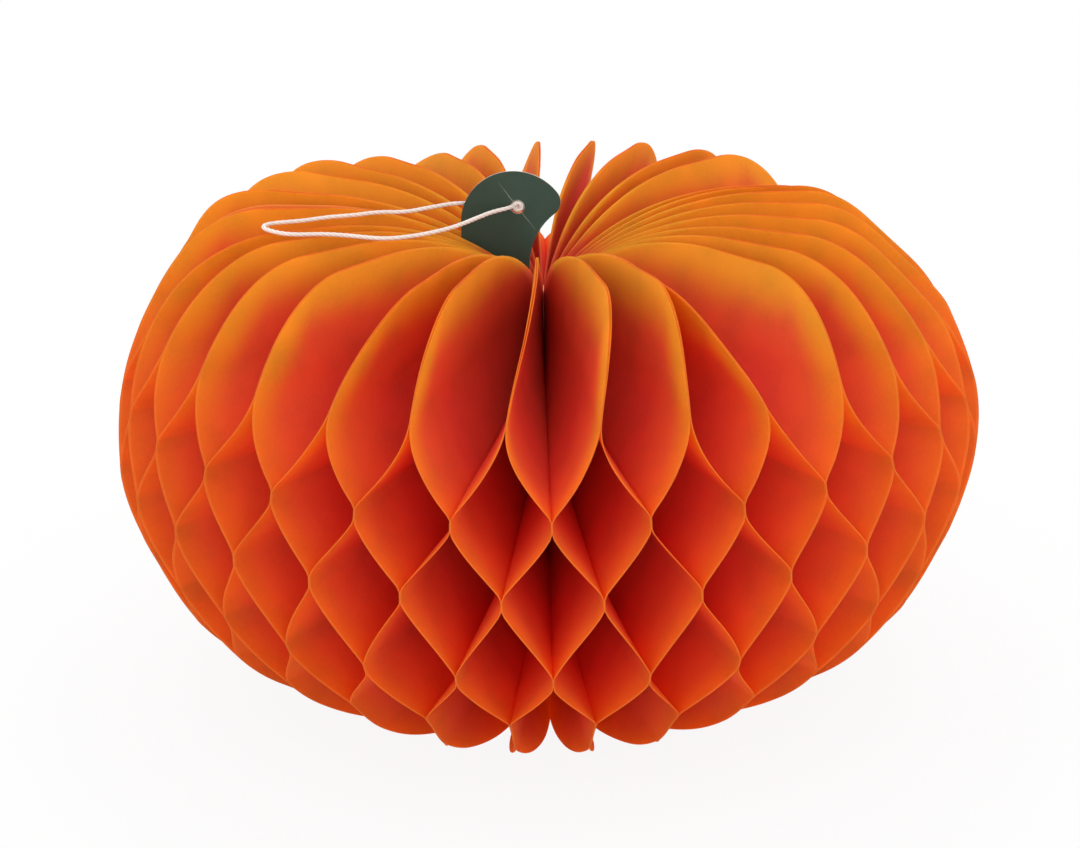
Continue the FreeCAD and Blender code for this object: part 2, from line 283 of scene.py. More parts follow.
def solve(source, values, tree_name, solid=None):
    """Runs a Geometry Nodes tree on a mesh or curve, and returns a plain mesh."""
    modifier = source.modifiers.new("shape", "NODES")
    modifier.node_group = bpy.data.node_groups[tree_name]
    for item in modifier.node_group.interface.items_tree:
        if item.item_type == "SOCKET" and item.in_out == "INPUT":
            if item.name in values:
                modifier[item.identifier] = values[item.name]
    if solid:
        wall = source.modifiers.new("thickness", "SOLIDIFY")
        wall.thickness = solid
        wall.offset = 0.0
        wall.use_even_offset = False
    bpy.context.view_layer.update()
    evaluated = source.evaluated_get(bpy.context.evaluated_depsgraph_get())
    return bpy.data.meshes.new_from_object(evaluated)


def place(name, mesh, body, slot, *nodes, smooth=True):
    """A finished piece: linked, shaded, riding its body and standing for CAD nodes."""
    piece = bpy.data.objects.new(name, mesh)
    bpy.context.scene.collection.objects.link(piece)
    mesh.polygons.foreach_set("use_smooth", [smooth] * len(mesh.polygons))
    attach(piece, body)
    if nodes:
        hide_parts(*nodes)
    return piece


# ------------------------------------------------------------------ paper leaves

# Which way the free top petals lean, in degrees, counter-clockwise from above.
LEANS = {
    1: 4,
    2: 24,
    4: -8,
    5: -6,
    6: 25,
    7: 2,
    8: 22,
    9: 28,
    10: 16,
    11: -40,
    12: 34,
    13: 8,
    17: -8,
    18: -28,
    19: -52,
    20: 10,
    21: -10,
    22: -5,
    23: -12,
    24: -14,
    25: -14,
    26: -34,
    27: -22,
    28: -16,
    29: -32,
    30: 8,
}

# Swells of the whole ball: bearing and spread in degrees, height, spread, and how far
# the rim moves out and up there, in millimetres.
SWELLS = [
    (205, 45, 46, 28, -2.9, 0.0),
    (275, 40, 12, 16, 5.0, -5.5),
    (342, 45, 46, 28, -2.7, 0.0),
    (0, 45, 88, 26, 2.3, 0.0),
    (14, 40, 134, 26, -6.0, -4.0),
    (160, 32, 140, 14, 2.8, 7.0),
    (185, 30, 118, 24, -1.6, 0.0),
    (288, 18, 143, 18, 0.0, 9.0),
]

LEAF_INPUTS = [
    ("Side", "NodeSocketFloat", 1.0),
    ("Turn", "NodeSocketFloat", 0.0),
    ("Half Pitch", "NodeSocketFloat", PITCH / 2),
    ("Neighbour Offset", "NodeSocketFloat", 0.0),
    ("Inner Radius", "NodeSocketFloat", 0.003),
    ("Lean", "NodeSocketFloat", 0.0),
    ("Number", "NodeSocketFloat", 0.0),
]


def leaf_tree(sizes):
    """Geometry Nodes for one wavy leaf, as a surface between its glue lines."""
    inputs = LEAF_INPUTS
    tree, given, result = new_tree(
        "Leaf", "GeometryNodeTree", inputs, [("Geometry", "NodeSocketGeometry")]
    )
    f = Fields(tree)
    side = given.outputs["Side"]
    half_pitch = given.outputs["Half Pitch"]
    number = given.outputs["Number"]
    grid = f.put("GeometryNodeMeshGrid")
    grid.inputs["Vertices X"].default_value = sizes.columns
    grid.inputs["Vertices Y"].default_value = sizes.rows
    grid.inputs["Size X"].default_value = 1.0
    grid.inputs["Size Y"].default_value = 1.0
    across, upward, _ = f.parts(f.put("GeometryNodeInputPosition").outputs[0])
    across = f.math("ADD", across, 0.5, clamp=True)
    upward = f.math("ADD", upward, 0.5, clamp=True)

    # Height and reach run round a quarter of an ellipse below and above the equator.
    is_high = f.math("GREATER_THAN", upward, 0.5)
    angle = f.times(upward, math.pi)
    low_height = f.times(
        f.take(1.0, f.math("COSINE", angle)), sizes.equator_height
    )
    rise = sizes.crest_height - sizes.equator_height
    high_angle = f.take(angle, math.pi / 2)
    high_height = f.add(
        f.times(f.math("SINE", high_angle), rise), sizes.equator_height
    )
    height = f.blend(is_high, low_height, high_height)
    low_reach = f.add(
        f.times(f.math("SINE", angle), sizes.equator_radius - sizes.foot_radius),
        sizes.foot_radius,
    )
    high_reach = f.add(
        f.times(f.math("COSINE", high_angle), sizes.equator_radius - sizes.crest_outer),
        sizes.crest_outer,
    )
    outer = f.blend(is_high, low_reach, high_reach)

    # The inner edge follows the spine, and the dimple arc above its floor.
    above_centre = f.add(height, sizes.dimple_radius - sizes.crest_height)
    arc = f.take(sizes.dimple_radius**2, f.times(above_centre, above_centre))
    arc = f.math("SQRT", f.math("MAXIMUM", arc, 0.0))
    dimple = f.take(sizes.crest_inner, arc)
    inner = f.math("MAXIMUM", dimple, given.outputs["Inner Radius"])
    outward = f.take(1.0, f.math("POWER", f.take(1.0, across), 1.5))
    radius = f.blend(outward, inner, outer)

    # Share of the way out to the neighbouring pair, between the glue rows.
    half_line = sizes.glue_line / 2
    foot_step = f.ramp(height, sizes.foot_line, sizes.row_bottom * sizes.foot_bend)
    wave = f.take(1.0, f.math("POWER", foot_step, sizes.foot_ease))
    rows = [sizes.row_bottom, sizes.row_lower, sizes.row_middle, sizes.row_upper]
    sign = 1.0
    for low, high in zip(rows, rows[1:]):
        ends = (low + half_line, high - half_line)
        step = f.ramp(height, *ends)
        soft = f.ramp(height, *ends, smooth=True)
        wave = f.add(wave, f.times(f.blend(sizes.roundness, step, soft), sign))
        sign = -sign
    left_over = f.ramp(height, sizes.row_top - half_line, sizes.row_upper + half_line)
    eased = f.math("POWER", left_over, sizes.petal_ease)
    wave = f.take(wave, f.take(1.0, eased))
    wave = f.math("MAXIMUM", wave, 0.0)

    # The free edges above the top row part a little.
    above = f.ramp(height, sizes.row_top, sizes.crest_height, smooth=True)
    to_rim = f.over(radius, sizes.equator_radius)
    own = f.vector(f.times(height, 1.0), f.times(radius, 1.0), 0.0)
    leaf_seed = f.add(f.times(number, 7.3), f.times(side, 1.9))
    lips = f.times(
        f.times(above, sizes.lips), f.add(1.0, f.noise(own, 25.0, 1.0, leaf_seed))
    )
    middle = f.times(f.times(wave, f.take(1.0, wave)), 4.0)
    bow = f.times(f.noise(own, 22.0, 1.0, leaf_seed), sizes.bulge * 2.0)
    bow = f.times(f.add(bow, sizes.bulge * 0.35), middle)
    turn_share = f.times(side, f.add(f.add(wave, lips), bow))
    local_turn = f.times(turn_share, half_pitch)
    offset = f.blend(wave, sizes.thickness / 2 + 0.00001, given.outputs["Neighbour Offset"])
    offset = f.times(offset, side)
    azimuth = f.add(given.outputs["Turn"], local_turn)
    cosine = f.math("COSINE", azimuth)
    sine = f.math("SINE", azimuth)
    x = f.take(f.times(radius, cosine), f.times(offset, sine))
    y = f.add(f.times(radius, sine), f.times(offset, cosine))

    # A petal leans more and more from between the upper two rows to its crest.
    bend_low = (sizes.row_upper + sizes.row_top) / 2
    bent = f.math("POWER", f.ramp(height, bend_low, sizes.crest_height), sizes.petal_bend)
    stand = f.times(bent, sizes.crest_height - sizes.row_top)
    curl = f.noise(f.scaled(own, 1.0), 18.0, 1.0, f.times(number, 5.1))
    lean = f.add(given.outputs["Lean"], f.times(curl, sizes.curl))
    lean = f.times(lean, to_rim)
    aside = f.times(stand, f.math("SINE", lean))
    x = f.take(x, f.times(aside, sine))
    y = f.add(y, f.times(aside, cosine))
    height_now = f.take(height, f.times(stand, f.take(1.0, f.math("COSINE", lean))))

    # The back of the top edge sinks, and moves along.
    around = f.math("ARCTAN2", y, x)
    at_back = f.ramp(f.math("SINE", around), 0.1, 0.95, smooth=True)
    at_back = f.times(at_back, f.ramp(height, sizes.row_middle, sizes.crest_height))
    at_back = f.times(at_back, to_rim)
    x = f.add(x, f.times(at_back, sizes.back_shift))
    height_now = f.take(height_now, f.times(at_back, sizes.back_sag))
    spot = f.vector(x, y, height_now)

    # The whole honeycomb is a little uneven, but not beside the seam or the foot.
    drift = sizes.drift * 2.0
    from_seam = f.math("ABSOLUTE", f.math("ARCTAN2", y, x))
    from_seam = f.take(math.pi, from_seam)
    seam_mask = f.ramp(from_seam, PITCH * 0.5, PITCH * 2.0, smooth=True)
    foot_mask = f.ramp(height, 0.0, sizes.row_bottom, smooth=True)
    mask = f.times(seam_mask, to_rim)
    sideways = f.times(f.times(f.noise(spot, 14.0, 1.0, 0.3), drift), mask)
    upwards = f.times(f.times(f.noise(spot, 15.0, 1.0, 4.7), drift * 0.9), foot_mask)
    upwards = f.times(upwards, mask)
    outwards = f.times(f.times(f.noise(spot, 12.0, 1.0, 8.1), drift * 0.8), mask)

    # Slow swells and dents, as a ball that has lain folded opens unevenly.
    for bearing, wide, level, tall, push, lift in SWELLS:
        facing = f.math("COSINE", f.take(around, math.radians(bearing)))
        near = f.ramp(facing, math.cos(math.radians(wide)), 1.0, smooth=True)
        apart = f.math("ABSOLUTE", f.take(height, level * MM))
        near = f.times(near, f.ramp(apart, tall * MM, 0.0, smooth=True))
        near = f.times(near, f.math("POWER", to_rim, 3.0))
        outwards = f.add(outwards, f.times(near, push * MM))
        upwards = f.add(upwards, f.times(near, lift * MM))
    moved = f.vector(
        f.add(x, f.take(f.times(outwards, cosine), f.times(sideways, sine))),
        f.add(y, f.add(f.times(outwards, sine), f.times(sideways, cosine))),
        f.add(height_now, upwards),
    )
    set_position = f.put("GeometryNodeSetPosition")
    f.feed(set_position.inputs["Geometry"], grid.outputs["Mesh"])

    # The rim mask is the distance from the cut edge; the paper's material paints its glow,
    # its highlight and its shade from it.
    rim = f.least(
        f.take(outer, radius),
        f.take(sizes.crest_height, height),
        height,
    )
    dimple_side = f.take(radius, inner)
    rim = f.blend(above, rim, f.least(rim, dimple_side))
    rim = f.math("MAXIMUM", rim, 0.0)
    geometry = grid.outputs["Mesh"]
    for name, value in (
        ("rim", rim),
        ("rise", height),
        ("reach", radius),
        ("bend", middle),
        ("leaf", leaf_seed),
    ):
        store = f.put("GeometryNodeStoreNamedAttribute", data_type="FLOAT")
        store.inputs["Name"].default_value = name
        f.feed(store.inputs["Geometry"], geometry)
        f.feed(store.inputs["Value"], value)
        geometry = store.outputs["Geometry"]
    f.feed(set_position.inputs["Geometry"], geometry)
    f.feed(set_position.inputs["Position"], moved)
    f.feed(result.inputs["Geometry"], set_position.outputs["Geometry"])
    return tree


def pair_tree(leaf):
    """Geometry Nodes for the two glued leaves of a pair, from the leaf tree."""
    inputs = [
        ("Geometry", "NodeSocketGeometry", None),
        ("Turn", "NodeSocketFloat", 0.0),
        ("Half Pitch", "NodeSocketFloat", PITCH / 2),
        ("Near Offset", "NodeSocketFloat", 0.0),
        ("Far Offset", "NodeSocketFloat", 0.0),
        ("Near Inner Radius", "NodeSocketFloat", 0.003),
        ("Far Inner Radius", "NodeSocketFloat", 0.003),
        ("Lean", "NodeSocketFloat", 0.0),
        ("Number", "NodeSocketFloat", 0.0),
        ("Material", "NodeSocketMaterial", None),
    ]
    tree, given, result = new_tree(
        "Leaf Pair", "GeometryNodeTree", inputs, [("Geometry", "NodeSocketGeometry")]
    )
    f = Fields(tree)
    join = f.put("GeometryNodeJoinGeometry")
    for side, word in ((-1.0, "Near"), (1.0, "Far")):
        node = f.put("GeometryNodeGroup")
        node.node_tree = leaf
        f.feed(node.inputs["Side"], side)
        f.feed(node.inputs["Turn"], given.outputs["Turn"])
        f.feed(node.inputs["Half Pitch"], given.outputs["Half Pitch"])
        f.feed(node.inputs["Neighbour Offset"], given.outputs[word + " Offset"])
        f.feed(node.inputs["Inner Radius"], given.outputs[word + " Inner Radius"])
        f.feed(node.inputs["Lean"], given.outputs["Lean"])
        f.feed(node.inputs["Number"], given.outputs["Number"])
        f.feed(join.inputs[0], node.outputs[0])
    whole = f.put("GeometryNodeRealizeInstances")
    f.feed(whole.inputs[0], join.outputs[0])
    paint = f.put("GeometryNodeSetMaterial")
    f.feed(paint.inputs["Geometry"], whole.outputs[0])
    f.feed(paint.inputs["Material"], given.outputs["Material"])
    f.feed(result.inputs["Geometry"], paint.outputs[0])
    return tree


class PUMPKIN_OT_leaves(bpy.types.Operator):
    """Makes the wavy paper leaves, one mesh for each glued pair"""

    bl_idname = "pumpkin.leaves"
    bl_label = "Paper Leaves"

    def execute(self, context):
        sizes = context.scene.pumpkin_leaves
        pair_tree(leaf_tree(sizes))
        paper = paper_material(context.scene.pumpkin_colours)
        near_neighbour = -sizes.thickness * 0.45
        board_face = abs(board_low.y)
        near_board = -(board_face + 0.00015 + sizes.thickness / 2)
        last = len(pair_names)
        for number, name in enumerate(pair_names, start=1):
            turn = math.pi + PITCH * (number - 0.5)
            first_offset = near_board if number == 1 else near_neighbour
            last_offset = near_board if number == last else near_neighbour
            values = {
                "Turn": turn,
                "Half Pitch": PITCH / 2,
                "Near Offset": first_offset,
                "Far Offset": last_offset,
                "Near Inner Radius": (
                    sizes.end_inner_radius if number == 1 else sizes.inner_radius
                ),
                "Far Inner Radius": (
                    sizes.end_inner_radius if number == last else sizes.inner_radius
                ),
                "Lean": math.radians(LEANS.get(number, 0)),
                "Number": float(number),
                "Material": paper,
            }
            holder = bpy.data.objects.new("holder", bpy.data.meshes.new("holder"))
            context.scene.collection.objects.link(holder)
            mesh = solve(holder, values, "Leaf Pair", solid=sizes.thickness)
            bpy.data.objects.remove(holder)
            if not mesh.materials:
                mesh.materials.append(paper)
            piece = place(
                "paper_leaves_%02d" % number,
                mesh,
                "pair_%02d" % number,
                "orange_paper",
                name,
            )
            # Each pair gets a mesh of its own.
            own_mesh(piece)
        return {"FINISHED"}


# ------------------------------------------------------------------ materials


def fibre_group():
    """Shader group: the mottled colour, roughness and relief of pressed paper."""
    name = "Paper Fibres"
    if name in bpy.data.node_groups:
        return bpy.data.node_groups[name]
    tree, given, result = new_tree(
        name,
        "ShaderNodeTree",
        [
            ("Colour", "NodeSocketColor", (1, 1, 1, 1)),
            ("Mottle", "NodeSocketFloat", 0.08),
            ("Scale", "NodeSocketFloat", 1.0),
        ],
        [
            ("Colour", "NodeSocketColor"),
            ("Roughness", "NodeSocketFloat"),
            ("Height", "NodeSocketFloat"),
        ],
    )
    f = Fields(tree)
    spot = f.put("ShaderNodeTexCoord").outputs["Object"]
    spot = f.scaled(spot, given.outputs["Scale"])
    cloud = f.noise(spot, 90.0, 4.0, 1.0)
    grain = f.noise(spot, 900.0, 4.0, 2.0)
    fibres = f.noise(spot, 3200.0, 3.0, 3.0)
    amount = f.times(f.add(cloud, f.times(grain, 0.6)), given.outputs["Mottle"])
    bright = f.add(1.0, f.times(amount, 2.0))
    tint = f.put("ShaderNodeHueSaturation")
    f.feed(tint.inputs["Value"], bright)
    f.feed(tint.inputs["Color"], given.outputs["Colour"])
    f.feed(result.inputs["Colour"], tint.outputs[0])
    f.feed(result.inputs["Roughness"], f.add(0.72, f.times(grain, 0.2)))
    f.feed(result.inputs["Height"], f.add(grain, f.times(fibres, 0.6)))
    return tree


def new_material(name):
    """A node material with a Principled BSDF; returns it, its fields and the shader."""
    material = bpy.data.materials.new(name)
    material.use_nodes = True
    f = Fields(material.node_tree)
    shader = material.node_tree.nodes["Principled BSDF"]
    return material, f, shader


def fibres(f, shader, colour_value, mottle, scale, depth):
    """Places the paper fibre group in a material, and feeds the shader from it."""
    group = f.put("ShaderNodeGroup")
    group.node_tree = fibre_group()
    f.feed(group.inputs["Colour"], colour_value)
    f.feed(group.inputs["Mottle"], mottle)
    f.feed(group.inputs["Scale"], scale)
    bump = f.put("ShaderNodeBump")
    bump.inputs["Strength"].default_value = 0.35
    bump.inputs["Distance"].default_value = depth
    f.feed(bump.inputs["Height"], group.outputs["Height"])
    f.feed(shader.inputs["Base Color"], group.outputs["Colour"])
    f.feed(shader.inputs["Roughness"], group.outputs["Roughness"])
    f.feed(shader.inputs["Normal"], bump.outputs["Normal"])
    return group


def colour_mix(f, factor, first, second):
    """first where factor is 0, second where it is 1."""
    mix = f.put("ShaderNodeMix", data_type="RGBA")
    f.feed(mix.inputs[0], factor)
    f.feed(mix.inputs[6], first)
    f.feed(mix.inputs[7], second)
    return mix.outputs[2]


def attribute(f, name):
    node = f.put("ShaderNodeAttribute", attribute_name=name)
    return node.outputs["Fac"]


def paper_material(colours):
    """Orange paper, with painted light: a golden glow painted at its free edges and top, a
    painted highlight along its cut edges, and painted shade that turns it redder the deeper
    it goes.
    """
    material, f, shader = new_material("orange paper")
    rim = attribute(f, "rim")
    rise = attribute(f, "rise")
    seed = attribute(f, "leaf")
    spot = f.put("ShaderNodeTexCoord").outputs["Object"]
    patch = f.noise(spot, 30.0, 2.0, seed)
    # Painted light: a golden glow painted along the free edges, wider and more golden at
    # the top.
    high = f.ramp(rise, 0.098, 0.132, smooth=True)
    rim = f.times(rim, f.add(1.0, f.times(patch, 0.9)))
    glow_depth = f.blend(high, 0.011, 0.016)
    glow = f.take(1.0, f.ramp(rim, f.blend(high, 0.0, 0.003), glow_depth, smooth=True))
    # Painted shade: redder away from the edges, deep in the cells.
    shade_mask = f.ramp(rim, 0.008, 0.030)
    # Painted highlight: a thin line along the cut edge.
    cut = f.take(1.0, f.ramp(rim, 0.0, 0.00025))
    tone = colour_mix(f, shade_mask, tuple(colours.paper), tuple(colours.paper_deep_shade))
    edge = colour_mix(f, high, tuple(colours.paper_rim_glow), tuple(colours.paper_crest_glow))
    tone = colour_mix(f, glow, tone, edge)
    tone = colour_mix(f, cut, tone, tuple(colours.paper_cut_and_highlight))
    group = fibres(f, shader, tone, 0.11, 1.0, 0.0001)
    shader.inputs["Specular IOR Level"].default_value = 0.25
    through = f.put("ShaderNodeBsdfTranslucent")
    f.feed(through.inputs["Color"], group.outputs["Colour"])
    mix = f.put("ShaderNodeMixShader")
    mix.inputs[0].default_value = 0.5
    f.feed(mix.inputs[1], shader.outputs[0])
    f.feed(mix.inputs[2], through.outputs[0])
    output = material.node_tree.nodes["Material Output"]
    f.feed(output.inputs["Surface"], mix.outputs[0])
    return material


def sheet_finish(f, shader, face, core, mottle):
    """A coloured face, and a bare core at the cut edges (across Y)."""
    normal = f.parts(f.put("ShaderNodeTexCoord").outputs["Normal"])
    edge = f.take(1.0, f.ramp(f.math("ABSOLUTE", normal[1]), 0.3, 0.7))
    tone = colour_mix(f, edge, face, tuple(core))
    fibres(f, shader, tone, mottle, 1.0, 0.00008)
    shader.inputs["Specular IOR Level"].default_value = 0.3


def board_material(colours):
    """The orange card of the two cover boards."""
    material, f, shader = new_material("orange card")
    sheet_finish(f, shader, tuple(colours.board), colours.paper_cut_and_highlight, 0.08)
    return material


def card_material(colours, sizes):
    """Green card with a pale crease through its hole, and a bare core at its edges."""
    material, f, shader = new_material("green card")
    spot = f.put("ShaderNodeTexCoord").outputs["Object"]
    x, _, z = f.parts(spot)
    beside = f.take(x, (knot_low.x + knot_high.x) / 2)
    above = f.take(z, (knot_low.z + knot_high.z) / 2)
    slope = (math.cos(sizes.crease_turn), math.sin(sizes.crease_turn))
    along = f.add(f.times(beside, slope[0]), f.times(above, slope[1]))
    across = f.take(f.times(above, slope[0]), f.times(beside, slope[1]))
    across = f.add(across, f.times(f.noise(spot, 300.0, 1.0, 6.0), 0.0004))
    line = f.ramp(f.math("ABSOLUTE", across), sizes.crease_width, 0.0, smooth=True)
    reach = sizes.crease_reach
    line = f.times(line, f.ramp(f.math("ABSOLUTE", along), reach, reach / 2))
    line = f.times(line, f.add(0.75, f.noise(spot, 700.0, 2.0, 9.0)))
    face = colour_mix(f, line, tuple(colours.card), tuple(colours.card_crease))
    sheet_finish(f, shader, face, colours.card_core, 0.16)
    return material


def plain_material(name, tone, mottle, depth):
    """A soft, slightly mottled finish for the glue and the foam pads."""
    material, f, shader = new_material(name)
    fibres(f, shader, tuple(tone), mottle, 0.6, depth)
    return material


def twine_material(colours):
    """Cotton, with painted shade: paler on the crowns of the plies and darker in the
    furrows.
    """
    material, f, shader = new_material("cotton twine")
    crown = attribute(f, "crown")
    tone = colour_mix(
        f, f.ramp(crown, 0.0, 0.8), tuple(colours.twine_shade), tuple(colours.twine)
    )
    fibres(f, shader, tone, 0.10, 2.5, 0.0001)
    shader.inputs["Sheen Weight"].default_value = 0.3
    return material


class PUMPKIN_OT_boards(bpy.types.Operator):
    """Finishes the cover boards, the closure pads and the spine of the frame"""

    bl_idname = "pumpkin.boards"
    bl_label = "Boards, Pads and Spine"

    def execute(self, context):
        colours = context.scene.pumpkin_colours
        board = board_material(colours)
        glue = plain_material("binding glue", colours.glue, 0.15, 0.0004)
        foam = plain_material("foam pad", colours.foam, 0.05, 0.0003)
        for node, material in (
            ("cover_board_a", board),
            ("cover_board_b", board),
            ("closure_pad_upper", foam),
            ("closure_pad_lower", foam),
            ("spine_binding", glue),
        ):
            finish_node(node, material)
        return {"FINISHED"}


def finish_node(node, material):
    """Gives a CAD node one material."""
    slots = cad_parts[node].data.materials
    slots.clear()
    slots.append(material)


# ------------------------------------------------------------------ stem card


class PUMPKIN_OT_stem(bpy.types.Operator):
    """Finishes the punched and creased stem card"""

    bl_idname = "pumpkin.stem"
    bl_label = "Stem Card"

    def execute(self, context):
        colours = context.scene.pumpkin_colours
        finish_node("stem_card", card_material(colours, context.scene.pumpkin_stem))
        return {"FINISHED"}


# ------------------------------------------------------------------ string and knot

# Where the twine goes, in millimetres: out of the hole, over the crests, to the knot.
STRING_ROUTE = [
    (-8.0, 0.275, 142.0),
    (-8.0, -2.3, 142.0),
    (-13.6, -7.8, 142.1),
    (-17.6, -15.4, 142.3),
    (-22.2, -24.4, 142.6),
    (-27.2, -30.6, 142.9),
    (-33.2, -36.0, 143.2),
    (-40.0, -39.2, 143.4),
    (-47.6, -37.2, 143.4),
    (-56.6, -35.2, 143.4),
    (-66.6, -36.8, 143.4),
    (-72.8, -33.4, 143.4),
    (-76.0, -29.4, 143.4),
    (-73.6, -26.0, 143.4),
    (-65.4, -23.6, 143.4),
    (-58.6, -19.4, 143.4),
    (-51.6, -17.4, 143.4),
    (-45.0, -13.0, 143.2),
    (-38.2, -12.4, 142.9),
    (-31.0, -5.0, 142.4),
    (-24.8, 2.0, 141.7),
    (-16.0, 2.375, 141.4),
    (-9.6, 2.375, 141.4),
]


def smooth_line(points, name):
    """An open NURBS curve of order 3 through its two end points."""
    data = bpy.data.curves.new(name, "CURVE")
    data.dimensions = "3D"
    data.resolution_u = 16
    spline = data.splines.new("NURBS")
    spline.points.add(len(points) - 1)
    for point, place_mm in zip(spline.points, points):
        point.co = (*(Vector(place_mm) * MM), 1.0)
    spline.order_u = 3
    spline.use_endpoint_u = True
    return bpy.data.objects.new(name, data)


def read_line(curve):
    """The points of a curve's own smooth line."""
    bpy.context.scene.collection.objects.link(curve)
    bpy.context.view_layer.update()
    evaluated = curve.evaluated_get(bpy.context.evaluated_depsgraph_get())
    mesh = bpy.data.meshes.new_from_object(evaluated)
    points = [v.co.copy() for v in mesh.vertices]
    bpy.data.objects.remove(curve)
    return points


def twine_tree():
    """Geometry Nodes for twisted twine along the line that it is given."""
    inputs = [
        ("Geometry", "NodeSocketGeometry", None),
        ("Radius", "NodeSocketFloat", 0.0007),
        ("Plies", "NodeSocketInt", 3),
        ("Lay", "NodeSocketFloat", 0.0055),
        ("Furrow", "NodeSocketFloat", 0.20),
        ("Step", "NodeSocketFloat", 0.0004),
        ("Material", "NodeSocketMaterial", None),
    ]
    tree, given, result = new_tree(
        "Twine", "GeometryNodeTree", inputs, [("Geometry", "NodeSocketGeometry")]
    )
    f = Fields(tree)
    line = f.put("GeometryNodeMeshToCurve")
    f.feed(line.inputs[0], given.outputs["Geometry"])
    even = f.put("GeometryNodeResampleCurve", mode="LENGTH")
    f.feed(even.inputs["Curve"], line.outputs[0])
    f.feed(even.inputs["Length"], given.outputs["Step"])
    along = f.put("GeometryNodeSplineParameter").outputs["Length"]
    tilt = f.put("GeometryNodeSetCurveTilt")
    f.feed(tilt.inputs["Curve"], even.outputs[0])
    f.feed(tilt.inputs["Tilt"], f.times(f.over(along, given.outputs["Lay"]), math.tau))
    ring = f.put("GeometryNodeCurvePrimitiveCircle", mode="RADIUS")
    ring.inputs["Resolution"].default_value = 18
    ring.inputs["Radius"].default_value = 1.0
    x, y, _ = f.parts(f.put("GeometryNodeInputPosition").outputs[0])
    angle = f.math("ARCTAN2", y, x)
    lobe = f.math("COSINE", f.times(f.times(angle, given.outputs["Plies"]), 0.5))
    lobe = f.math("ABSOLUTE", lobe)
    reach = f.add(1.0, f.times(f.take(lobe, 1.0), given.outputs["Furrow"]))
    reach = f.times(reach, given.outputs["Radius"])
    lobed = f.put("GeometryNodeSetPosition")
    f.feed(lobed.inputs["Geometry"], ring.outputs[0])
    f.feed(
        lobed.inputs["Position"],
        f.vector(
            f.times(f.math("COSINE", angle), reach),
            f.times(f.math("SINE", angle), reach),
            0.0,
        ),
    )
    crown = f.put("GeometryNodeStoreNamedAttribute", data_type="FLOAT")
    crown.inputs["Name"].default_value = "crown"
    f.feed(crown.inputs["Geometry"], lobed.outputs[0])
    f.feed(crown.inputs["Value"], lobe)
    tube = f.put("GeometryNodeCurveToMesh")
    f.feed(tube.inputs["Curve"], tilt.outputs[0])
    f.feed(tube.inputs["Profile Curve"], crown.outputs[0])
    tube.inputs["Fill Caps"].default_value = True
    whole = f.put("GeometryNodeRealizeInstances")
    f.feed(whole.inputs[0], tube.outputs[0])
    paint = f.put("GeometryNodeSetMaterial")
    f.feed(paint.inputs["Geometry"], whole.outputs[0])
    f.feed(paint.inputs["Material"], given.outputs["Material"])
    f.feed(result.inputs["Geometry"], paint.outputs[0])
    return tree


def twine_mesh(points, material, radius, **sizes):
    """A mesh of twisted twine along the given points."""
    line = bpy.data.meshes.new("line")
    edges = [(n, n + 1) for n in range(len(points) - 1)]
    line.from_pydata([tuple(p) for p in points], edges, [])
    holder = bpy.data.objects.new("line", line)
    bpy.context.scene.collection.objects.link(holder)
    values = {"Radius": radius, "Material": material, **sizes}
    mesh = solve(holder, values, "Twine")
    bpy.data.objects.remove(holder)
    if not mesh.materials:
        mesh.materials.append(material)
    return mesh


def knot_line(hole, knot, size, turn_radius):
    """A turn of twine in the hole, then an overhand knot pressed flat behind it."""
    points = []
    steps = 20
    for n in range(steps + 1):
        turn = math.radians(146.0 - 310.0 * n / steps)
        aside = Vector((math.cos(turn), 0.0, math.sin(turn))) * turn_radius
        points.append(hole + aside + Vector((0.0, n * 0.02 * MM, 0.0)))
    points.append(hole + Vector((0.0, 0.8 * MM, 0.0)))
    steps = 60
    for n in range(steps + 1):
        turn = math.tau * n / steps
        ring = (2.0 + math.cos(3 * turn)) * size
        depth = size * 0.8 * math.sin(3 * turn)
        points.append(
            knot + Vector((ring * math.cos(2 * turn), depth, ring * math.sin(2 * turn)))
        )
    return points


class PUMPKIN_OT_string(bpy.types.Operator):
    """Makes the twine loop and the knot behind the card"""

    bl_idname = "pumpkin.string"
    bl_label = "Hanging String and Knot"

    def execute(self, context):
        twine_tree()
        sizes = context.scene.pumpkin_stem
        cotton = twine_material(context.scene.pumpkin_colours)
        radius = sizes.twine_diameter / 2
        path = read_line(smooth_line(STRING_ROUTE, "string line"))
        mesh = twine_mesh(path, cotton, radius)
        body = "spine_and_cover_a"
        string = place("twine_loop", mesh, body, "cotton_twine", "hanging_string")
        centre = (knot_low + knot_high) / 2
        hole = Vector((centre.x, -radius / 4, centre.z))
        size = (knot_high.x - knot_low.x) / 2 - radius
        line = knot_line(hole, centre, size / 3.0, sizes.turn_radius)
        tied = twine_mesh(line, cotton, radius)
        knot = place("twine_knot", tied, body, "cotton_twine", "string_knot")
        return {"FINISHED"}


# ------------------------------------------------------------------ stage

CAMERA_TURN = math.radians(5.5)
CAMERA_RISE = math.radians(21.5)
CAMERA_ROLL = math.radians(-0.75)
CAMERA_DISTANCE = 0.815
CAMERA_LENS = 91.8
CAMERA_SHIFT = 0.012
CAMERA_ASIDE = 0.0015
CAMERA_DROP = 0.0004
LIGHT_SIZE = 0.8
LIGHTS = (  # name, place in metres, watts
    ("back light", (-0.05, 0.60, 0.80), 2.6),
    ("left light", (-1.15, -0.55, 0.25), 3.0),
    ("right light", (1.15, -0.45, 0.25), 3.2),
    ("front light", (0.15, -1.30, 0.22), 2.0),
)
ROOM_LIGHT = 0.92  # strength of the white room on the object


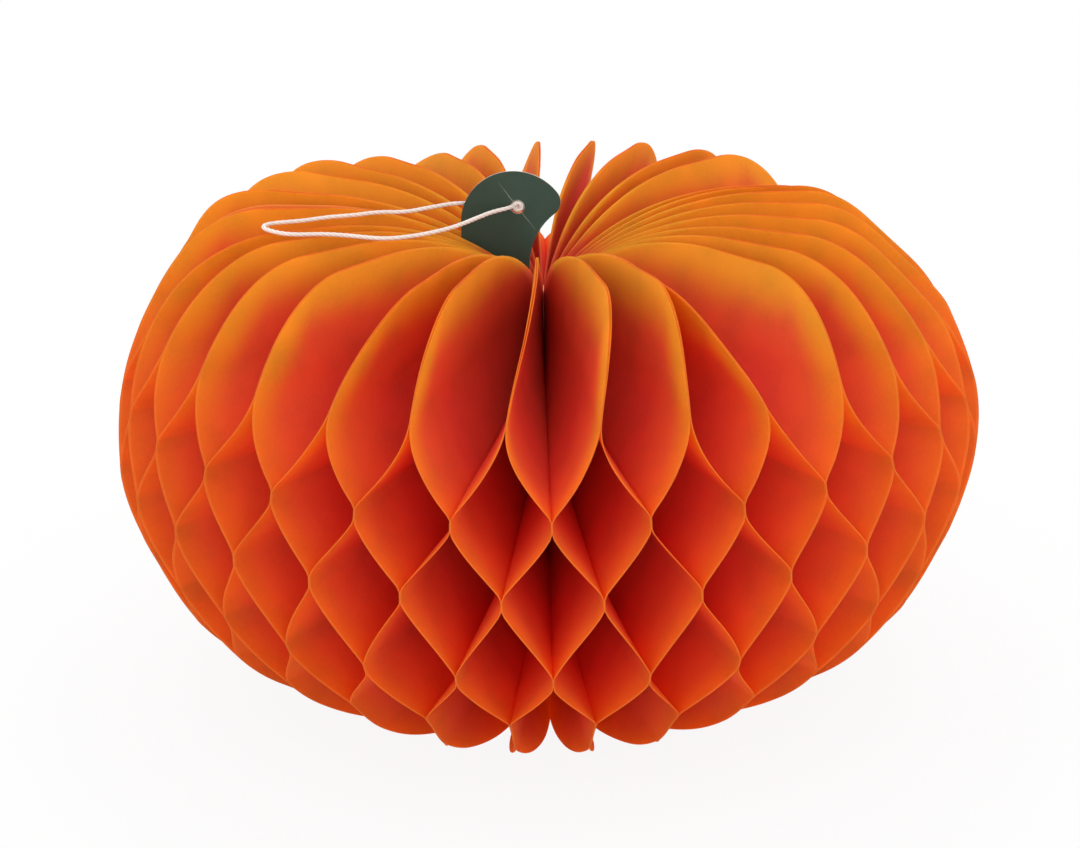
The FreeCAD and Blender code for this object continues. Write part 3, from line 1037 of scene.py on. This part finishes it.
class PUMPKIN_OT_stage(bpy.types.Operator):
    """Makes the pale floor, the lights and the camera"""

    bl_idname = "pumpkin.stage"
    bl_label = "Floor, Lights and Camera"

    def execute(self, context):
        scene = context.scene
        make_camera(scene)
        make_lights(scene)
        make_floor(scene)
        scene.view_settings.view_transform = "Standard"
        return {"FINISHED"}


def make_camera(scene):
    """A long lens in front and a little above, rolled by a degree or less."""
    sizes = scene.pumpkin_leaves
    aim = Vector((0, 0, sizes.equator_height - CAMERA_DROP))
    back = Vector(
        (
            math.sin(CAMERA_TURN) * math.cos(CAMERA_RISE),
            -math.cos(CAMERA_TURN) * math.cos(CAMERA_RISE),
            math.sin(CAMERA_RISE),
        )
    )
    right = Vector((math.cos(CAMERA_TURN), math.sin(CAMERA_TURN), 0))
    up = back.cross(right)
    place_at = aim + back * CAMERA_DISTANCE - right * CAMERA_ASIDE
    rolled_right = right * math.cos(CAMERA_ROLL) + up * math.sin(CAMERA_ROLL)
    rolled_up = back.cross(rolled_right)
    data = bpy.data.cameras.new("camera")
    data.sensor_width = 36.0
    data.lens = CAMERA_LENS
    data.shift_y = CAMERA_SHIFT
    data.clip_start = 0.05
    data.clip_end = 20.0
    camera = bpy.data.objects.new("camera", data)
    turn = Matrix((rolled_right, rolled_up, back)).transposed().to_4x4()
    camera.matrix_world = Matrix.Translation(place_at) @ turn
    scene.collection.objects.link(camera)
    scene.camera = camera


def area_light(scene, name, position, aim, size, watts):
    """A square soft white light turned towards a point."""
    data = bpy.data.lights.new(name, "AREA")
    data.shape = "SQUARE"
    data.size = size
    data.energy = watts
    light = bpy.data.objects.new(name, data)
    light.location = position
    towards = Vector(aim) - Vector(position)
    light.rotation_euler = towards.to_track_quat("-Z", "Y").to_euler()
    scene.collection.objects.link(light)


def make_lights(scene):
    """An even white room with soft lights high behind, at both sides and low in front."""
    aim = (0, 0, 0.08)
    for name, position, watts in LIGHTS:
        area_light(scene, name, position, aim, LIGHT_SIZE, watts)
    world = bpy.data.worlds.new("studio")
    scene.world = world
    world.use_nodes = True
    f = Fields(world.node_tree)
    background = world.node_tree.nodes["Background"]
    f.feed(background.inputs["Strength"], f.blend(seen_directly(f), ROOM_LIGHT, 1.0))
    background.inputs["Color"].default_value = (1, 1, 1, 1)


def seen_directly(f):
    """1 for rays from the camera and those that gloss or glass sends on."""
    path = f.put("ShaderNodeLightPath")
    seen = f.math("MAXIMUM", path.outputs["Is Camera Ray"], path.outputs["Is Glossy Ray"])
    return f.math("MAXIMUM", seen, path.outputs["Is Transmission Ray"])


def make_floor(scene):
    """A wide white floor, which fades to pure white away from the object."""
    half = 4.0
    mesh = bpy.data.meshes.new("floor")
    corners = [(-half, -half, 0), (half, -half, 0), (half, half, 0), (-half, half, 0)]
    mesh.from_pydata(corners, [], [(0, 1, 2, 3)])
    floor = bpy.data.objects.new("floor", mesh)
    scene.collection.objects.link(floor)
    material, f, shader = new_material("pale floor")
    shader.inputs["Base Color"].default_value = (0.90, 0.90, 0.90, 1)
    shader.inputs["Roughness"].default_value = 0.9
    shader.inputs["Specular IOR Level"].default_value = 0.0
    spot = f.put("ShaderNodeTexCoord").outputs["Object"]
    away = f.put("ShaderNodeVectorMath", operation="LENGTH")
    f.feed(away.inputs[0], spot)
    far = f.ramp(away.outputs["Value"], 0.13, 0.30, smooth=True)
    glow = f.put("ShaderNodeEmission")
    mix = f.put("ShaderNodeMixShader")
    share_seen = f.blend(far, 0.90, 1.0)
    f.feed(mix.inputs[0], f.times(seen_directly(f), share_seen))
    f.feed(mix.inputs[1], shader.outputs[0])
    f.feed(mix.inputs[2], glow.outputs[0])
    output = material.node_tree.nodes["Material Output"]
    f.feed(output.inputs["Surface"], mix.outputs[0])
    mesh.materials.append(material)


# ------------------------------------------------------------------ panel and main


class PUMPKIN_PT_build(bpy.types.Panel):
    """Lists the steps that build the pumpkin"""

    bl_label = "Honeycomb Pumpkin"
    bl_idname = "PUMPKIN_PT_build"
    bl_space_type = "VIEW_3D"
    bl_region_type = "UI"
    bl_category = "Pumpkin"

    def draw(self, context):
        for operator in OPERATORS:
            self.layout.operator(operator.bl_idname)
        scene = context.scene
        for group in (scene.pumpkin_leaves, scene.pumpkin_stem, scene.pumpkin_colours):
            box = self.layout.box()
            for name in group.bl_rna.properties.keys():
                if name not in ("rna_type", "name"):
                    box.prop(group, name)


OPERATORS = (
    PUMPKIN_OT_stage,
    PUMPKIN_OT_string,
    PUMPKIN_OT_leaves,
    PUMPKIN_OT_boards,
    PUMPKIN_OT_stem,
)
GROUPS = (PumpkinLeafSizes, PumpkinStemSizes, PumpkinColours)
CLASSES = (*GROUPS, *OPERATORS, PUMPKIN_PT_build)


def register():
    for item in CLASSES:
        bpy.utils.register_class(item)
    bpy.types.Scene.pumpkin_leaves = PointerProperty(type=PumpkinLeafSizes)
    bpy.types.Scene.pumpkin_stem = PointerProperty(type=PumpkinStemSizes)
    bpy.types.Scene.pumpkin_colours = PointerProperty(type=PumpkinColours)


def unregister():
    del bpy.types.Scene.pumpkin_colours
    del bpy.types.Scene.pumpkin_stem
    del bpy.types.Scene.pumpkin_leaves
    for item in reversed(CLASSES):
        bpy.utils.unregister_class(item)


def main():
    register()
    bpy.ops.pumpkin.stage()
    bpy.ops.pumpkin.string()
    bpy.ops.pumpkin.leaves()
    bpy.ops.pumpkin.boards()
    bpy.ops.pumpkin.stem()


if __name__ == "__main__":
    main()
